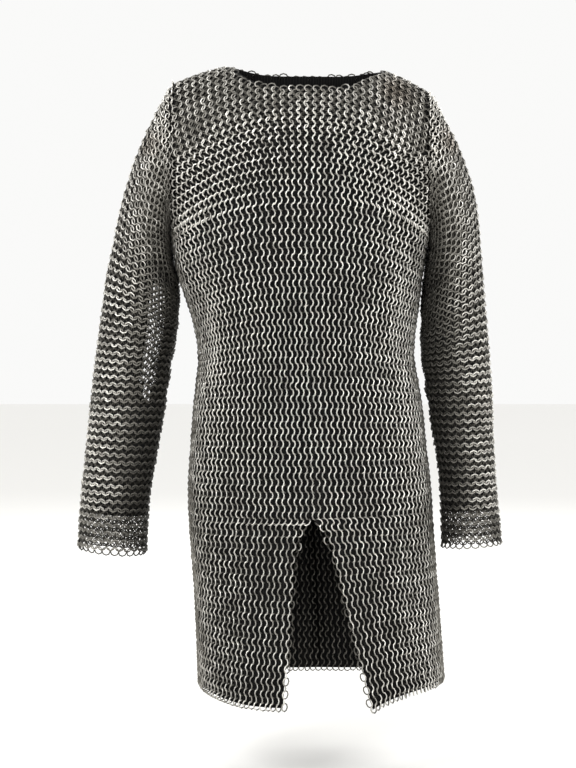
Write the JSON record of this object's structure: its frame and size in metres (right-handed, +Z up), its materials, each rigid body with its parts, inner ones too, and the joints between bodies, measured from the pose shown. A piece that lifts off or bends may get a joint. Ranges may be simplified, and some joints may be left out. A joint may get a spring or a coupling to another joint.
{
  "type": "chainmail hauberk",
  "caption": "Thigh-length long-sleeved hauberk of linked steel rings, open at neck, cuffs and hem, with a slit up the front, hanging as worn with the arms down.",
  "frame": {"origin": "Between the two shoulders, midway across the neck opening and on the shoulder line front to back, where the wearer's shoulders carry the mail. The neck points lie 109 mm and 116 mm to either side of it.", "axes": "+X to the wearer's left, -Y to the front, +Z up. The garment hangs along Z; X runs along the shoulders."},
  "size_m": [0.615, 0.254, 0.9195],
  "materials": {
    "mail_steel": "dark oiled mild steel wire, 4-in-1 weave of round rings; how they close is not seen"
  },
  "bodies": {
    "root": {"front": "mail_steel", "back": "mail_steel", "sleeve_left": "mail_steel", "sleeve_right": "mail_steel"}
  },
  "joints": []
}
